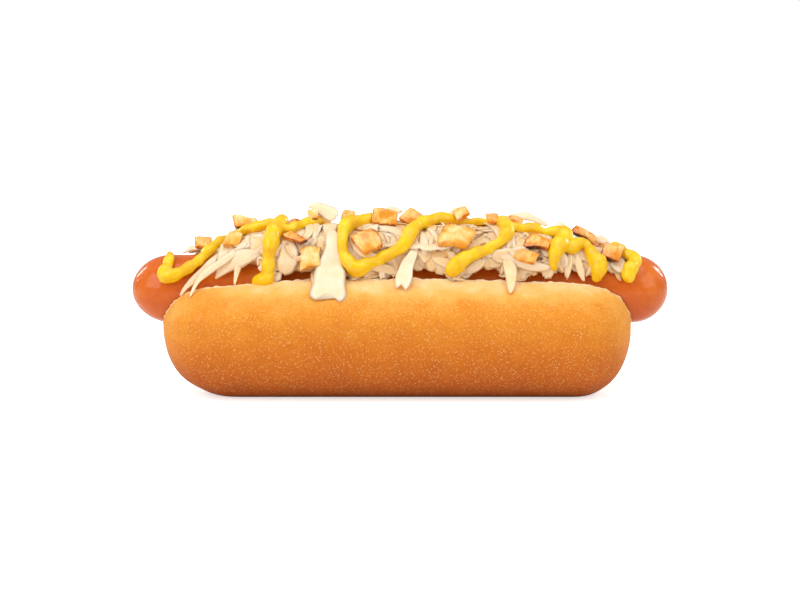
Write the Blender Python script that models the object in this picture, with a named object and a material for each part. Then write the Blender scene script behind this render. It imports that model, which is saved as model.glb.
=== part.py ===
"""A hot dog: a split bun that holds a sausage, topped with sauerkraut, browned onion pieces and mustard.

Frame: metres, +X along the sausage, -Y towards the front, +Z up, origin on the ground under the middle.
Sizes below are in millimetres, and mesh_object() turns them into metres.
Places on the topping are given as (x, turn): turn is the angle round the sausage's axis, in degrees,
0 at the crest, negative towards the front and positive towards the back.
"""

import math

import bmesh
import bpy
from mathutils import Euler, Matrix, Vector, noise

MM = 0.001
GAP = 0.35

# Sausage: a straight frankfurter.
SAUSAGE_HALF_LENGTH = 87.2
SAUSAGE_RADIUS = 11.1
SAUSAGE_AXIS_HEIGHT = 33.8
SAUSAGE_END_LENGTH = {-1: 13.0, 1: 11.5}
SAUSAGE_SIDES = 24

# Bun: a soft loaf with a flat base, split from above and opened by the sausage.
BUN_END = {-1: -77.4, 1: 75.5}
BUN_HALF_WIDTH = 28.0
BUN_WAIST_HEIGHT = 24.0
BUN_CROWN_HEIGHT = 41.0
BUN_CROWN_DROP = {-1: 3.4, 1: 2.4}
BUN_BASE_CUT = 1.0
BUN_TOP_CORNER = {-1: 17.0, 1: 16.0}
BUN_SIDE_CORNER = {-1: 24.0, 1: 21.0}
BUN_BOTTOM_CORNER = {-1: 26.0, 1: 20.0}
BUN_SIDES = 32
CORNER_POWER = 2.3
CROWN_POWER = 2.3
BASE_POWER = 2.6

# The split: a bed for the sausage, open above, with a closed slit below that leaves a hinge of bread.
SPLIT_EDGE_HALF_WIDTH = 14.0
SLIT_HALF_WIDTH = 0.4
SLIT_FOOT_HEIGHT = 9.0
SPLIT_CUT_HEIGHT = 70.0

# Sauerkraut: a heap along the sausage, thick at the crest and thin at its two long edges.
HEAP_START, HEAP_END = -69.0, 74.0
HEAP_FULL_FROM, HEAP_FULL_TO = -36.0, 36.0
HEAP_THICKNESS = 9.6
HEAP_LEAST_THICKNESS = 0.9
HEAP_EDGE_TURN = 72.0
HEAP_EDGE_WAVE = 5.0
HEAP_UNEVENNESS = 1.3
HEAP_STATIONS = 40
HEAP_OUTER_STEPS = 9
HEAP_INNER_STEPS = 8
HEAP_RIM = 0.45
HEAP_BED_GAP = 0.5

# Mustard: one long zigzag, and a short stroke of its own on the sausage's right end.
MUSTARD_SIDES = 12
MUSTARD_STEPS = 4
MUSTARD_LIFT = 0.7
MUSTARD_VOXEL = 0.8
MUSTARD_KEEP = 0.07
MUSTARD_ROOM = 0.85

# Each point is (x, turn, radius). The lines cross the crest, dip down the front or back, and return.
MUSTARD_ZIGZAG = [
    [
        (-74.4, -22, 1.4), (-74.4, -36, 1.5), (-74.9, -51, 1.9), (-75.6, -66, 2.4), (-71.8, -62, 2.1),
        (-68.2, -53, 1.9), (-64.4, -39, 1.8), (-61.2, -24, 1.8), (-59.2, -10, 1.7), (-57.6, 12, 1.7),
        (-55.4, 22, 1.7), (-53.4, 12, 1.6), (-52.4, 2, 1.7), (-48.6, -5, 1.8), (-45.0, -3, 1.8),
        (-41.8, 0, 1.9), (-38.4, -2, 2.0), (-39.6, -16, 2.5), (-40.9, -28, 2.7), (-41.6, -40, 2.7),
        (-42.0, -51, 1.9), (-42.4, -62, 2.1), (-42.8, -70, 2.6), (-45.2, -73, 2.1),
    ],
    [
        (-39.4, -12, 1.8), (-36.2, -19, 1.6), (-33.3, -13, 1.6), (-30.3, -5, 1.6), (-27.0, 2, 1.6),
        (-24.6, 18, 1.7), (-21.0, 32, 1.8), (-15.0, 31, 1.8), (-10.0, 20, 1.8), (-7.8, 7, 1.9),
        (-11.8, -2, 2.1), (-15.6, -9, 2.5), (-17.8, -20, 2.3), (-18.4, -32, 1.9), (-18.2, -42, 1.8),
        (-16.8, -52, 2.2), (-13.8, -61, 2.8), (-9.6, -55, 2.2), (-4.9, -48, 2.0), (-0.7, -41, 2.1),
        (2.2, -32, 2.4), (4.2, -20, 2.2), (7.2, -9, 2.1), (11.4, -1, 2.1), (15.7, 5, 2.0),
        (19.6, 9, 1.8), (23.8, 9, 1.4), (28.2, 8, 1.2), (31.4, 4, 1.5), (33.4, -4, 2.0),
        (34.4, -14, 2.4), (34.2, -27, 2.2), (31.2, -36, 1.8), (26.4, -42, 1.8), (22.0, -48, 2.2),
        (19.0, -55, 2.8), (16.8, -62, 2.7),
    ],
    [
        (34.2, -8, 1.6), (36.8, -14, 1.5), (39.8, -17, 1.6), (43.2, -13, 1.8), (46.4, -14, 1.7), (49.4, -12, 2.0),
        (52.4, -14, 2.5), (52.8, -24, 2.6), (51.0, -34, 3.0), (49.6, -43, 2.6), (49.2, -51, 1.9), (49.4, -57, 1.0),
    ],
    [
        (51.8, -28, 1.9), (54.6, -32, 1.9), (57.2, -25, 2.0), (59.6, -20, 1.9), (61.0, -30, 1.9),
        (62.4, -42, 2.3), (63.9, -53, 2.8), (63.0, -66, 1.8),
    ],
]
MUSTARD_STROKE = [
    [
        (69.8, 18, 1.5), (71.0, -14, 1.7), (73.2, -26, 1.9), (75.4, -31, 1.9), (76.0, -40, 1.9),
        (74.8, -48, 2.2), (73.6, -57, 2.6), (73.2, -64, 2.3),
    ],
]

# Onion pieces: (x, turn, lift of the centre, length, width, thickness, spin, tilt towards the front).
ONIONS = [
    (-64.2, 8, 2.2, 5.8, 4.4, 3.2, 6, 64),
    (-50.5, 4, 3.9, 7.6, 4.2, 3.6, 2, 66),
    (-53.8, -21, 1.8, 5.2, 5.6, 3.0, -8, 30),
    (-33.6, -31, 2.0, 7.8, 3.0, 2.6, -30, 12),
    (-28.7, -50, 1.8, 7.0, 8.2, 3.2, 8, 6),
    (-28.0, -2, 3.6, 2.8, 3.8, 2.4, 8, 60),
    (-17.2, 8, 3.0, 4.0, 4.4, 2.4, -20, 60),
    (-10.4, -37, 2.0, 7.6, 8.2, 4.0, 24, 10),
    (-4.8, -3, 2.4, 7.6, 6.0, 3.6, -8, 58),
    (4.0, 5, 2.0, 6.4, 6.0, 3.0, -32, 58),
    (18.2, -30, 1.8, 10.2, 9.8, 3.6, -12, 8),
    (19.9, 5, 3.4, 4.8, 4.0, 3.0, 20, 54),
    (30.4, -3, 2.6, 4.6, 3.6, 2.6, -6, 54),
    (37.6, -2, 1.8, 4.4, 2.6, 2.0, -30, 40),
    (44.2, -34, 1.8, 7.4, 5.6, 3.2, -12, 10),
    (40.6, -49, 1.5, 7.2, 4.0, 2.8, -20, 8),
    (60.2, 0, 2.6, 8.2, 3.4, 2.4, -38, 50),
    (68.2, -30, 1.9, 6.4, 6.2, 3.4, -16, 24),
    (-62.0, 38, 2.0, 6.2, 5.8, 3.4, 20, -6),
    (-46.0, 40, 1.8, 7.4, 6.0, 3.2, -14, -8),
    (-34.0, 28, 1.8, 6.8, 7.2, 3.6, 30, -6),
    (-7.0, 44, 1.6, 8.2, 6.4, 3.4, -20, -8),
    (8.5, 34, 1.8, 7.0, 7.8, 3.4, 12, -6),
    (37.0, 40, 1.7, 8.0, 6.2, 3.6, 24, -8),
    (50.5, 30, 1.8, 6.4, 6.8, 3.2, -18, -6),
    (63.5, 36, 2.0, 6.6, 5.6, 3.4, 10, -6),
]
ONION_GRID = (2, 1)
ONION_LAYER_RADIUS = 16.0
ONION_TAPER = 0.86


def smooth_step(share):
    share = min(max(share, 0.0), 1.0)
    return share * share * (3 - 2 * share)


def side_of(x):
    return -1 if x < 0 else 1


def signed_power(value, power):
    return math.copysign(abs(value) ** power, value)


# ---- the object's driving curves ----


def heap_thickness(x, turn):
    """How thick the sauerkraut lies on the sausage at this place."""
    rise = smooth_step((x - HEAP_START) / (HEAP_FULL_FROM - HEAP_START))
    fall = smooth_step((HEAP_END - x) / (HEAP_END - HEAP_FULL_TO))
    crest = HEAP_LEAST_THICKNESS + (HEAP_THICKNESS - HEAP_LEAST_THICKNESS) * rise * fall
    across = max(0.0, math.cos(math.radians(90 * turn / edge_turn(x, side_of(turn))))) ** 0.8
    lump = noise.noise(Vector((0.11 * x, 0.035 * turn, 3.7)))
    return max(0.0, crest * across + HEAP_UNEVENNESS * lump * across * rise * fall)


def edge_turn(x, side):
    """The turn at which the heap's long edge meets the sausage, which wanders along the sausage."""
    return HEAP_EDGE_TURN + HEAP_EDGE_WAVE * math.sin(0.23 * x + 1.9 * side)


def topping_point(x, turn, lift):
    """The point that lies lift above the topping, or above the bare sausage beyond it."""
    inside = HEAP_START <= x <= HEAP_END
    reach = SAUSAGE_RADIUS + GAP + lift + (heap_thickness(x, turn) if inside else 0.0)
    angle = math.radians(turn)
    return Vector((x, reach * math.sin(angle), SAUSAGE_AXIS_HEIGHT + reach * math.cos(angle)))


def end_share(x, start, end, power=CORNER_POWER):
    """1 along the body, falling to 0 at the tip, as the corner of a superellipse does."""
    into = min(max((x - start) / (end - start), 0.0), 1.0)
    return (1 - into**power) ** (1 / power)


# ---- meshes ----


def finish(material_name, colour, roughness):
    """One Principled material, made once and shared by name."""
    found = bpy.data.materials.get(material_name)
    if found:
        return found
    made = bpy.data.materials.new(material_name)
    made.use_nodes = True
    shader = made.node_tree.nodes["Principled BSDF"]
    shader.inputs["Base Color"].default_value = (*colour, 1.0)
    shader.inputs["Roughness"].default_value = roughness
    shader.inputs["Metallic"].default_value = 0.0
    return made


def mesh_object(name, points, faces, material, smooth=True):
    """A new object from points in millimetres."""
    mesh = bpy.data.meshes.new(name)
    mesh.from_pydata([Vector(p) * MM for p in points], [], faces)
    if smooth:
        mesh.shade_smooth()
        mesh.set_sharp_from_angle(angle=math.radians(40))
    made = bpy.data.objects.new(name, mesh)
    if material:
        mesh.materials.append(material)
    bpy.context.scene.collection.objects.link(made)
    return made


def loft(name, rings, material, tips=None):
    """Closed rings joined side by side. Its ends are flat, or run to the two points given as tips."""
    count = len(rings[0])
    points = [p for ring in rings for p in ring]
    faces = []
    for r in range(len(rings) - 1):
        for k in range(count):
            here, after = r * count + k, r * count + (k + 1) % count
            faces.append((here, after, after + count, here + count))
    last = (len(rings) - 1) * count
    if tips:
        points += list(tips)
        first_tip, last_tip = len(points) - 2, len(points) - 1
        faces += [((k + 1) % count, k, first_tip) for k in range(count)]
        faces += [(last + k, last + (k + 1) % count, last_tip) for k in range(count)]
    else:
        faces.append(tuple(reversed(range(count))))
        faces.append(tuple(last + k for k in range(count)))
    made = mesh_object(name, points, faces, material)
    face_outwards(made)
    return made


def face_outwards(obj):
    shape = bmesh.new()
    shape.from_mesh(obj.data)
    bmesh.ops.recalc_face_normals(shape, faces=shape.faces)
    shape.to_mesh(obj.data)
    shape.free()


def as_cutter(obj):
    obj.hide_render = True
    obj.display_type = "WIRE"
    return obj


def cut(obj, cutter):
    modifier = obj.modifiers.new(f"less_{cutter.name}", "BOOLEAN")
    modifier.operation = "DIFFERENCE"
    modifier.solver = "EXACT"
    modifier.object = cutter


def spaced(start, end, steps):
    return [start + (end - start) * k / steps for k in range(steps + 1)]


def rounded_stations(end, body_steps, corner_steps):
    """Places along a body from one rounded end to the other, closer together round each end."""
    places = []
    for side in (-1, 1):
        tip, corner = end[side]
        for k in range(1, corner_steps + 1):
            places.append(tip - side * corner * (1 - math.sin(math.pi / 2 * k / (corner_steps + 1))))
    inner_left = end[-1][0] + end[-1][1]
    inner_right = end[1][0] - end[1][1]
    places += spaced(inner_left, inner_right, body_steps)
    return sorted(places)


# ---- sausage ----


def sausage(name, grow=0.0, material=None):
    """The sausage, or a fatter copy of it."""
    ends = {s: (s * (SAUSAGE_HALF_LENGTH + grow), SAUSAGE_END_LENGTH[s] + grow) for s in (-1, 1)}
    rings = []
    for x in rounded_stations(ends, body_steps=6, corner_steps=6):
        tip, corner = ends[side_of(x)]
        radius = (SAUSAGE_RADIUS + grow) * end_share(x, tip - side_of(x) * corner, tip, power=2.0)
        turns = [2 * math.pi * k / SAUSAGE_SIDES for k in range(SAUSAGE_SIDES)]
        rings.append([(x, radius * math.sin(t), SAUSAGE_AXIS_HEIGHT + radius * math.cos(t)) for t in turns])
    tips = [(ends[s][0], 0.0, SAUSAGE_AXIS_HEIGHT) for s in (-1, 1)]
    return loft(name, rings, material, tips)


# ---- bun ----


def bun_ring(x, grow):
    """One cross-section of the uncut loaf: a rounded top, bulging sides and a flattened underside."""
    side = side_of(x)
    tip = BUN_END[side] + side * grow

    def share(corner):
        return end_share(x, tip - side * corner[side], tip)

    crown = BUN_CROWN_HEIGHT - BUN_CROWN_DROP[side] * (x / 60) ** 2 + grow
    above = (crown - BUN_WAIST_HEIGHT) * share(BUN_TOP_CORNER)
    below = (BUN_WAIST_HEIGHT + BUN_BASE_CUT + grow) * share(BUN_BOTTOM_CORNER)
    half_width = (BUN_HALF_WIDTH + grow) * share(BUN_SIDE_CORNER)
    ring = []
    for k in range(BUN_SIDES):
        across = math.cos(2 * math.pi * k / BUN_SIDES)
        up = math.sin(2 * math.pi * k / BUN_SIDES)
        power = 2 / (CROWN_POWER if up > 0 else BASE_POWER)
        height = signed_power(up, power) * (above if up > 0 else below)
        ring.append((x, half_width * signed_power(across, power), BUN_WAIST_HEIGHT + height))
    return ring


def uncut_loaf(name, grow=0.0, material=None):
    ends = {s: (BUN_END[s] + s * grow, BUN_BOTTOM_CORNER[s]) for s in (-1, 1)}
    rings = [bun_ring(x, grow) for x in rounded_stations(ends, body_steps=8, corner_steps=7)]
    tips = [(ends[s][0], 0.0, BUN_WAIST_HEIGHT) for s in (-1, 1)]
    return loft(name, rings, material, tips)


def split_cutter(name, grow=0.0):
    """What the split takes out of the loaf: its bed fits the sausage, with room all round."""
    bed = SAUSAGE_RADIUS + GAP + grow
    slit = SLIT_HALF_WIDTH + grow
    slope = (SPLIT_EDGE_HALF_WIDTH - SAUSAGE_RADIUS - GAP) / (BUN_CROWN_HEIGHT - SAUSAGE_AXIS_HEIGHT)
    turns = [math.radians(t) for t in spaced(90, 172, 6)]
    rings = []
    for x in spaced(-SAUSAGE_HALF_LENGTH - 4, SAUSAGE_HALF_LENGTH + 4, 6):
        axis = SAUSAGE_AXIS_HEIGHT
        half = [(bed + slope * (SPLIT_CUT_HEIGHT - axis), SPLIT_CUT_HEIGHT)]
        half += [(bed * math.sin(t), axis + bed * math.cos(t)) for t in turns]
        half += [(slit, axis - bed * 0.99), (slit, SLIT_FOOT_HEIGHT - grow)]
        rings.append([(x, y, z) for y, z in half] + [(x, -y, z) for y, z in reversed(half)])
    return as_cutter(loft(name, rings, None))


def flat_base(obj):
    """Cuts the underside flat at the ground."""
    shape = bmesh.new()
    shape.from_mesh(obj.data)
    everything = shape.verts[:] + shape.edges[:] + shape.faces[:]
    done = bmesh.ops.bisect_plane(
        shape, geom=everything, dist=1e-7, plane_co=(0, 0, 0), plane_no=(0, 0, 1), clear_inner=True
    )
    rim = [e for e in done["geom_cut"] if isinstance(e, bmesh.types.BMEdge)]
    bmesh.ops.contextual_create(shape, geom=rim)
    bmesh.ops.recalc_face_normals(shape, faces=shape.faces)
    shape.to_mesh(obj.data)
    shape.free()


def bun(material):
    made = uncut_loaf("bun", material=material)
    flat_base(made)
    cut(made, split_cutter("split_cutter"))
    return made


def bun_room():
    """The bun, fatter all round, to keep the toppings clear of it."""
    made = uncut_loaf("bun_room", grow=GAP)
    cut(made, split_cutter("split_room_cutter", grow=-GAP))
    return as_cutter(made)


# ---- mustard ----


def through(points, steps):
    """A Catmull-Rom curve through the points, with this many steps between two of them."""
    ends = [points[0], *points, points[-1]]
    curve = []
    for before, a, b, after in zip(ends, ends[1:], ends[2:], ends[3:]):
        for k in range(steps):
            t = k / steps
            weights = (
                -t + 2 * t**2 - t**3,
                2 - 5 * t**2 + 3 * t**3,
                t + 4 * t**2 - 3 * t**3,
                -(t**2) + t**3,
            )
            row = zip(before, a, b, after)
            curve.append([sum(w * v for w, v in zip(weights, four)) / 2 for four in row])
    return curve + [list(points[-1])]


def mustard(name, routes, grow=0.0, material=None):
    """Lines of mustard that lie on the topping and join where they cross, or a fatter copy of them."""
    shape = bmesh.new()
    for route in routes:
        add_line(shape, route, grow)
    mesh = bpy.data.meshes.new(name)
    shape.to_mesh(mesh)
    shape.free()
    made = bpy.data.objects.new(name, mesh)
    if material:
        mesh.materials.append(material)
    bpy.context.scene.collection.objects.link(made)
    one_skin(made)
    return made


def add_line(shape, route, grow):
    """Adds one tube with round ends."""
    line = []
    for x, turn, radius in through(route, MUSTARD_STEPS):
        line.append((topping_point(x, turn, MUSTARD_LIFT * radius), radius + grow))
    turns = [2 * math.pi * k / MUSTARD_SIDES for k in range(MUSTARD_SIDES)]
    rings = []
    for i, (centre, radius) in enumerate(line):
        ahead = line[min(i + 1, len(line) - 1)][0]
        behind = line[max(i - 1, 0)][0]
        turned = (ahead - behind).to_track_quat("Z", "X").to_matrix()
        ring = [centre + turned @ Vector((radius * math.cos(t), radius * math.sin(t), 0)) for t in turns]
        rings.append([shape.verts.new(p * MM) for p in ring])
    for here, after in zip(rings, rings[1:]):
        for k in range(MUSTARD_SIDES):
            across = (k + 1) % MUSTARD_SIDES
            shape.faces.new((here[k], here[across], after[across], after[k]))
    shape.faces.new(reversed(rings[0]))
    shape.faces.new(rings[-1])
    for centre, radius in (line[0], line[-1]):
        place = Matrix.Translation(centre * MM)
        bmesh.ops.create_icosphere(shape, subdivisions=2, radius=radius * MM, matrix=place)


def one_skin(obj):
    """Joins a bead's crossings and folds into one smooth skin with few triangles, and no bubbles inside."""
    skin = obj.modifiers.new("skin", "REMESH")
    skin.mode = "VOXEL"
    skin.voxel_size = MUSTARD_VOXEL * MM
    skin.use_smooth_shade = True
    made = bpy.data.meshes.new_from_object(obj.evaluated_get(bpy.context.evaluated_depsgraph_get()))
    obj.modifiers.clear()
    shape = bmesh.new()
    shape.from_mesh(made)
    bodies = separate_bodies(shape)
    biggest = max(bodies, key=len)
    bmesh.ops.delete(shape, geom=[v for body in bodies if body is not biggest for v in body], context="VERTS")
    shape.to_mesh(made)
    shape.free()
    obj.data = made
    fewer = obj.modifiers.new("fewer", "DECIMATE")
    fewer.ratio = MUSTARD_KEEP


def separate_bodies(shape):
    """The vertices of each connected body of a mesh."""
    left = set(shape.verts)
    bodies = []
    while left:
        body = [left.pop()]
        for vert in body:
            for edge in vert.link_edges:
                other = edge.other_vert(vert)
                if other in left:
                    left.remove(other)
                    body.append(other)
        bodies.append(body)
    return bodies


# ---- onion pieces ----


def onion_piece(name, place, size, grow=0.0, material=None):
    """A diced piece of one onion layer: a curved slab, a little narrower at one end."""
    x, turn, lift, spin, tilt = place
    length, width, thickness = (side + 2 * grow for side in size)
    columns, rows = ONION_GRID
    points = []
    for face in (-0.5, 0.5):
        for i in range(columns + 1):
            for j in range(rows + 1):
                u, v = i / columns - 0.5, j / rows - 0.5
                taper = 1 - (1 - ONION_TAPER) * (u + 0.5)
                bend = u * length / ONION_LAYER_RADIUS
                reach = ONION_LAYER_RADIUS + face * thickness
                points.append((reach * math.sin(bend), v * width * taper, reach * math.cos(bend) - ONION_LAYER_RADIUS))
    per_row, per_face = rows + 1, (columns + 1) * (rows + 1)
    faces = []
    for i in range(columns):
        for j in range(rows):
            a = i * per_row + j
            faces.append((a, a + 1, a + 1 + per_row, a + per_row))
            faces.append(tuple(per_face + k for k in (a, a + per_row, a + 1 + per_row, a + 1)))
    rim = [i * per_row for i in range(columns)]
    rim += [columns * per_row + j for j in range(rows)]
    rim += [i * per_row + rows for i in range(columns, 0, -1)]
    rim += [j for j in range(rows, 0, -1)]
    for a, b in zip(rim, rim[1:] + rim[:1]):
        faces.append((a, b, b + per_face, a + per_face))
    made = mesh_object(name, points, faces, material, smooth=False)
    face_outwards(made)
    angle = math.radians(turn)
    upright = Matrix((
        (1, 0, 0),
        (0, math.cos(angle), math.sin(angle)),
        (0, -math.sin(angle), math.cos(angle)),
    ))
    turned = upright @ Euler((math.radians(tilt), 0, 0)).to_matrix() @ Euler((0, 0, math.radians(spin))).to_matrix()
    made.matrix_world = Matrix.LocRotScale(topping_point(x, turn, lift) * MM, turned.to_quaternion(), None)
    return made


# ---- sauerkraut ----


def sauerkraut(name, grow=0.0, material=None):
    """The heap: its underside follows the sausage, and its outline is uneven. Or a fatter copy of it."""
    rings = []
    bed = SAUSAGE_RADIUS + HEAP_BED_GAP - grow
    for x in spaced(HEAP_START, HEAP_END, HEAP_STATIONS):
        front, back = -edge_turn(x, -1) + 1 - 2 * grow, edge_turn(x, 1) - 1 + 2 * grow
        place = x + grow * side_of(x) if x in (HEAP_START, HEAP_END) else x
        ring = []
        for t in spaced(front, back, HEAP_OUTER_STEPS):
            ring.append(topping_point(x, t, HEAP_RIM + grow) + Vector((place - x, 0, 0)))
        for t in spaced(back, front, HEAP_INNER_STEPS):
            angle = math.radians(t)
            ring.append(Vector((place, bed * math.sin(angle), SAUSAGE_AXIS_HEIGHT + bed * math.cos(angle))))
        rings.append(ring)
    return loft(name, rings, material)


def build():
    for obj in list(bpy.data.objects):
        bpy.data.objects.remove(obj)

    crust = finish("crust", (0.82, 0.34, 0.06), 0.6)
    skin = finish("sausage_skin", (0.66, 0.16, 0.04), 0.3)
    kraut = finish("kraut", (0.90, 0.66, 0.35), 0.4)
    yellow = finish("mustard", (0.90, 0.55, 0.01), 0.3)
    onion = finish("onion", (0.88, 0.45, 0.08), 0.4)

    sausage("sausage", material=skin)
    bun(crust)
    bread = bun_room()

    heap = sauerkraut("sauerkraut", material=kraut)
    cut(heap, bread)
    heap_room = as_cutter(sauerkraut("sauerkraut_room", grow=GAP))
    sausage_room = as_cutter(sausage("sausage_room", grow=GAP))

    mustard_rooms = []
    for name, routes in {"mustard": MUSTARD_ZIGZAG, "mustard_end": MUSTARD_STROKE}.items():
        made = mustard(name, routes, material=yellow)
        for room in (heap_room, sausage_room, bread):
            cut(made, room)
        mustard_rooms.append(as_cutter(mustard(f"{name}_room", routes, grow=MUSTARD_ROOM)))

    for number, (x, turn, lift, length, width, thickness, spin, tilt) in enumerate(ONIONS, start=1):
        place, size = (x, turn, lift, spin, tilt), (length, width, thickness)
        made = onion_piece(f"onion_{number:02d}", place, size, material=onion)
        cut(made, sausage_room)
        for room in mustard_rooms:
            cut(made, room)
        cut(heap, as_cutter(onion_piece(f"onion_room_{number:02d}", place, size, grow=GAP)))


build()
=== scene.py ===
"""The looks of a hot dog: bun, sausage, sauerkraut, onion and mustard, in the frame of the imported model.

Sizes are in millimetres until a mesh is made. The toppings are placed on the hill, which is the surface that
a thing dropped on the hot dog would lie on: over the heap, over the bun's lip and down the bun's side.
"""

import math
import random

import bmesh
import bpy
import numpy as np
from mathutils import Euler, Matrix, Vector, noise


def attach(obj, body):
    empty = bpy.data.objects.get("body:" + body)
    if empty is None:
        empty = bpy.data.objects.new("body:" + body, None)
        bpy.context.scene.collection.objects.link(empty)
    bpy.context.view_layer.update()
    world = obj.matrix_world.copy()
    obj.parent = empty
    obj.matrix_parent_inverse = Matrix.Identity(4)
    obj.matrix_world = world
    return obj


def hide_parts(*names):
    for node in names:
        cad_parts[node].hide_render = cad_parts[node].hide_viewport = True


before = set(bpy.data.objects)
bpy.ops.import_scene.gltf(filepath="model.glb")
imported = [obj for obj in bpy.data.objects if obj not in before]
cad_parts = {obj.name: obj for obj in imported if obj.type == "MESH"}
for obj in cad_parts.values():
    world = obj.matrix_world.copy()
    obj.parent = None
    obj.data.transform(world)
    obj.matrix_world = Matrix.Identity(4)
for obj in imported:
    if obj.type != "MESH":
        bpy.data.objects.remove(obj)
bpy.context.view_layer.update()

MM = 0.001
SEED = 11

# ---- the object's sizes, as in its solids ----

GAP = 0.35
SAUSAGE_HALF_LENGTH = 87.2
SAUSAGE_RADIUS = 11.1
SAUSAGE_AXIS_HEIGHT = 33.8
SAUSAGE_END_LENGTH = {-1: 13.0, 1: 11.5}

BUN_END = {-1: -77.4, 1: 75.5}
BUN_HALF_WIDTH = 28.0
BUN_WAIST_HEIGHT = 24.0
BUN_CROWN_HEIGHT = 41.0
BUN_CROWN_DROP = {-1: 3.4, 1: 2.4}
BUN_BASE_CUT = 1.0
BUN_TOP_CORNER = {-1: 17.0, 1: 16.0}
BUN_SIDE_CORNER = {-1: 24.0, 1: 21.0}
BUN_BOTTOM_CORNER = {-1: 26.0, 1: 20.0}
CORNER_POWER = 2.3
CROWN_POWER = 2.3
BASE_POWER = 2.6
SPLIT_EDGE_HALF_WIDTH = 14.0
SLIT_HALF_WIDTH = 0.4
SLIT_FOOT_HEIGHT = 9.0
SPLIT_CUT_HEIGHT = 70.0
BED_RADIUS = SAUSAGE_RADIUS + GAP
SPLIT_SLOPE = (SPLIT_EDGE_HALF_WIDTH - BED_RADIUS) / (BUN_CROWN_HEIGHT - SAUSAGE_AXIS_HEIGHT)

HEAP_START, HEAP_END = -69.0, 74.0
HEAP_FULL_FROM, HEAP_FULL_TO = -36.0, 36.0
HEAP_THICKNESS = 9.6
HEAP_LEAST_THICKNESS = 0.9
HEAP_EDGE_TURN = 72.0
HEAP_EDGE_WAVE = 5.0
HEAP_UNEVENNESS = 1.3

MUSTARD_SIDES = 16
MUSTARD_STEPS = 6
MUSTARD_LIFT = 0.7
MUSTARD_VOXEL = 0.33

# Each point is (x, turn, radius). The lines cross the crest, dip down the front or back, and return.
MUSTARD_ZIGZAG = [
    [
        (-74.4, -22, 1.4), (-74.4, -36, 1.5), (-74.9, -51, 1.9), (-75.6, -66, 2.4), (-71.8, -62, 2.1),
        (-68.2, -53, 1.9), (-64.4, -39, 1.8), (-61.2, -24, 1.8), (-59.2, -10, 1.7), (-57.6, 12, 1.7),
        (-55.4, 22, 1.7), (-53.4, 12, 1.6), (-52.4, 2, 1.7), (-48.6, -5, 1.8), (-45.0, -3, 1.8),
        (-41.8, 0, 1.9), (-38.4, -2, 2.0), (-39.6, -16, 2.5), (-40.9, -28, 2.7), (-41.6, -40, 2.7),
        (-42.0, -51, 1.9), (-42.4, -62, 2.1), (-42.8, -70, 2.6), (-45.2, -73, 2.1),
    ],
    [
        (-39.4, -12, 1.8), (-36.2, -19, 1.6), (-33.3, -13, 1.6), (-30.3, -5, 1.6), (-27.0, 2, 1.6),
        (-24.6, 18, 1.7), (-21.0, 32, 1.8), (-15.0, 31, 1.8), (-10.0, 20, 1.8), (-7.8, 7, 1.9),
        (-11.8, -2, 2.1), (-15.6, -9, 2.5), (-17.8, -20, 2.3), (-18.4, -32, 1.9), (-18.2, -42, 1.8),
        (-16.8, -52, 2.2), (-13.8, -61, 2.8), (-9.6, -55, 2.2), (-4.9, -48, 2.0), (-0.7, -41, 2.1),
        (2.2, -32, 2.4), (4.2, -20, 2.2), (7.2, -9, 2.1), (11.4, -1, 2.1), (15.7, 5, 2.0),
        (19.6, 9, 1.8), (23.8, 9, 1.4), (28.2, 8, 1.2), (31.4, 4, 1.5), (33.4, -4, 2.0),
        (34.4, -14, 2.4), (34.2, -27, 2.2), (31.2, -36, 1.8), (26.4, -42, 1.8), (22.0, -48, 2.2),
        (19.0, -55, 2.8), (16.8, -62, 2.7),
    ],
    [
        (34.2, -8, 1.6), (36.8, -14, 1.5), (39.8, -17, 1.6), (43.2, -13, 1.8), (46.4, -14, 1.7),
        (49.4, -12, 2.0), (52.4, -14, 2.5), (52.8, -24, 2.6), (51.0, -34, 3.0), (49.6, -43, 2.6),
        (49.2, -51, 1.9), (49.4, -57, 1.0),
    ],
    [
        (51.8, -28, 1.9), (54.6, -32, 1.9), (57.2, -25, 2.0), (59.6, -20, 1.9), (61.0, -30, 1.9),
        (62.4, -42, 2.3), (63.9, -53, 2.8), (63.0, -66, 1.8),
    ],
]
MUSTARD_STROKE = [
    [
        (69.8, 18, 1.5), (71.0, -14, 1.7), (73.2, -26, 1.9), (75.4, -31, 1.9), (76.0, -40, 1.9),
        (74.8, -48, 2.2), (73.6, -57, 2.6), (73.2, -64, 2.3),
    ],
]

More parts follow.
